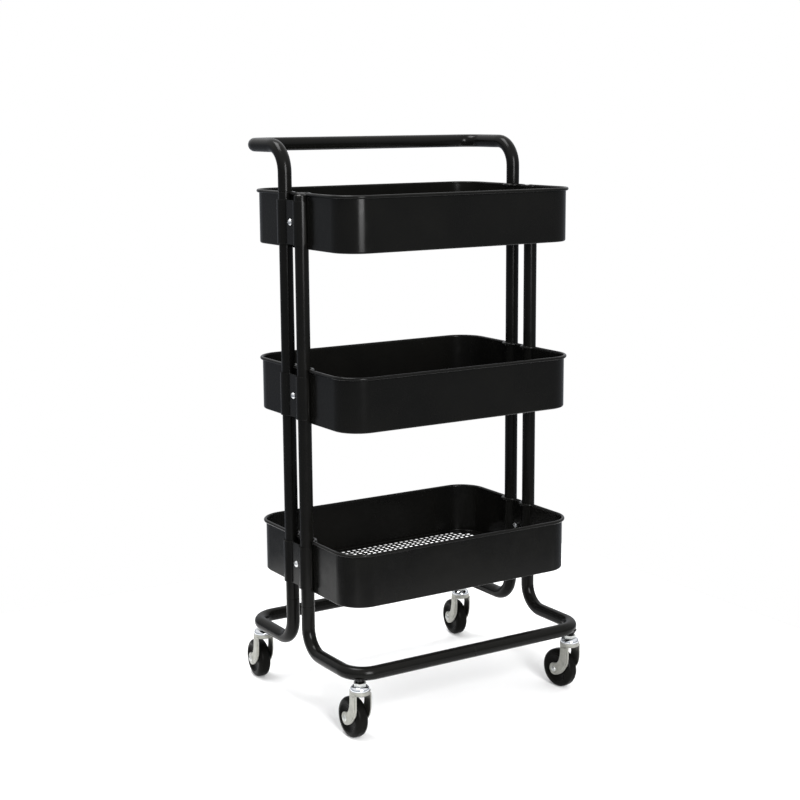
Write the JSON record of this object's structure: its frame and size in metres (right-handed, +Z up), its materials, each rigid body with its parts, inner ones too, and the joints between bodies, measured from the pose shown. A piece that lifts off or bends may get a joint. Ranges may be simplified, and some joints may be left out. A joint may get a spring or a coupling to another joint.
{
  "type": "utility cart",
  "caption": "Rolling utility cart with stacked mesh-floored steel trays clamped to a bent-tube frame, a push handle at the back and swivel casters.",
  "frame": {"origin": "on the floor under the middle of the trays", "axes": "+X along the long side of the trays, +Y towards the handle bar at the back, +Z up"},
  "size_m": [0.4296, 0.3681, 0.8525],
  "materials": {
    "tube_paint": "gloss black powder coat",
    "tray_paint": "satin-gloss black powder coat",
    "mesh_paint": "satin black powder coat",
    "clamp_paint": "satin-gloss black powder coat",
    "cap_plastic": "gloss",
    "zinc_screws": "bright zinc plate",
    "zinc_bright": "bright zinc plate",
    "cup_chrome": "bright",
    "fork_zinc": "dull zinc plate",
    "ball_steel": "polished",
    "sleeve_steel": "bare steel",
    "wheel_plastic": "satin"
  },
  "bodies": {
    "root": {"bottom_clamp_left": "clamp_paint", "bottom_clamp_nuts": "zinc_screws", "bottom_clamp_right": "clamp_paint", "bottom_clamp_screws": "zinc_screws", "bottom_tray": "tray_paint", "bottom_tray_mesh": "mesh_paint", "caster_sockets": "tube_paint", "front_left_caster_cup": "cup_chrome", "front_left_caster_stem": "zinc_bright", "front_left_leg": "tube_paint", "front_left_post": "tube_paint", "front_right_caster_cup": "cup_chrome", "front_right_caster_stem": "zinc_bright", "front_right_leg": "tube_paint", "front_right_post": "tube_paint", "handle_bar_sleeve": "sleeve_steel", "handle_left": "tube_paint", "handle_right": "tube_paint", "handle_sleeves": "sleeve_steel", "leg_sleeves": "sleeve_steel", "post_cap_left": "cap_plastic", "post_cap_right": "cap_plastic", "rail_sleeves": "sleeve_steel", "rear_left_caster_cup": "cup_chrome", "rear_left_caster_stem": "zinc_bright", "rear_left_leg": "tube_paint", "rear_left_post": "tube_paint", "rear_right_caster_cup": "cup_chrome", "rear_right_caster_stem": "zinc_bright", "rear_right_leg": "tube_paint", "rear_right_post": "tube_paint", "top_clamp_left": "clamp_paint", "top_clamp_nuts": "zinc_screws", "top_clamp_right": "clamp_paint", "top_clamp_screws": "zinc_screws", "top_tray": "tray_paint", "top_tray_mesh": "mesh_paint"},
    "middle_tray_set": {"middle_clamp_left": "clamp_paint", "middle_clamp_nuts": "zinc_screws", "middle_clamp_right": "clamp_paint", "middle_clamp_screws": "zinc_screws", "middle_tray": "tray_paint", "middle_tray_mesh": "mesh_paint"},
    "front_left_fork": {"front_left_caster_axle": "zinc_bright", "front_left_caster_balls": "ball_steel", "front_left_caster_fork": "fork_zinc"},
    "front_left_wheel": {"front_left_caster_wheel": "wheel_plastic"},
    "front_right_fork": {"front_right_caster_axle": "zinc_bright", "front_right_caster_balls": "ball_steel", "front_right_caster_fork": "fork_zinc"},
    "front_right_wheel": {"front_right_caster_wheel": "wheel_plastic"},
    "rear_left_fork": {"rear_left_caster_axle": "zinc_bright", "rear_left_caster_balls": "ball_steel", "rear_left_caster_fork": "fork_zinc"},
    "rear_left_wheel": {"rear_left_caster_wheel": "wheel_plastic"},
    "rear_right_fork": {"rear_right_caster_axle": "zinc_bright", "rear_right_caster_balls": "ball_steel", "rear_right_caster_fork": "fork_zinc"},
    "rear_right_wheel": {"rear_right_caster_wheel": "wheel_plastic"}
  },
  "joints": [
    {"name": "front_left_swivel", "type": "hinge", "parent": "root", "child": "front_left_fork", "pos_m": [-0.18976, -0.15001, 0.0705], "axis": [0, 0, 1], "continuous": true},
    {"name": "front_left_wheel_spin", "type": "hinge", "parent": "front_left_fork", "child": "front_left_wheel", "pos_m": [-0.18976, -0.13001, 0.03], "axis": [1, 0, 0], "continuous": true},
    {"name": "front_right_swivel", "type": "hinge", "parent": "root", "child": "front_right_fork", "pos_m": [0.18976, -0.15001, 0.0705], "axis": [0, 0, 1], "continuous": true},
    {"name": "front_right_wheel_spin", "type": "hinge", "parent": "front_right_fork", "child": "front_right_wheel", "pos_m": [0.18732, -0.13016, 0.03], "axis": [0.9925, 0.1219, 0], "continuous": true},
    {"name": "rear_left_swivel", "type": "hinge", "parent": "root", "child": "rear_left_fork", "pos_m": [-0.18976, 0.15001, 0.0705], "axis": [0, 0, 1], "continuous": true},
    {"name": "rear_left_wheel_spin", "type": "hinge", "parent": "rear_left_fork", "child": "rear_left_wheel", "pos_m": [-0.18802, 0.16993, 0.03], "axis": [0.9962, -0.0872, 0], "continuous": true},
    {"name": "rear_right_swivel", "type": "hinge", "parent": "root", "child": "rear_right_fork", "pos_m": [0.18976, 0.15001, 0.0705], "axis": [0, 0, 1], "continuous": true},
    {"name": "rear_right_wheel_spin", "type": "hinge", "parent": "rear_right_fork", "child": "rear_right_wheel", "pos_m": [0.19185, 0.1699, 0.03], "axis": [0.9945, -0.1045, 0], "continuous": true},
    {"name": "middle_tray_height", "type": "slide", "parent": "root", "child": "middle_tray_set", "axis": [0, 0, 1], "range_m": [-0.12, 0.12]}
  ]
}
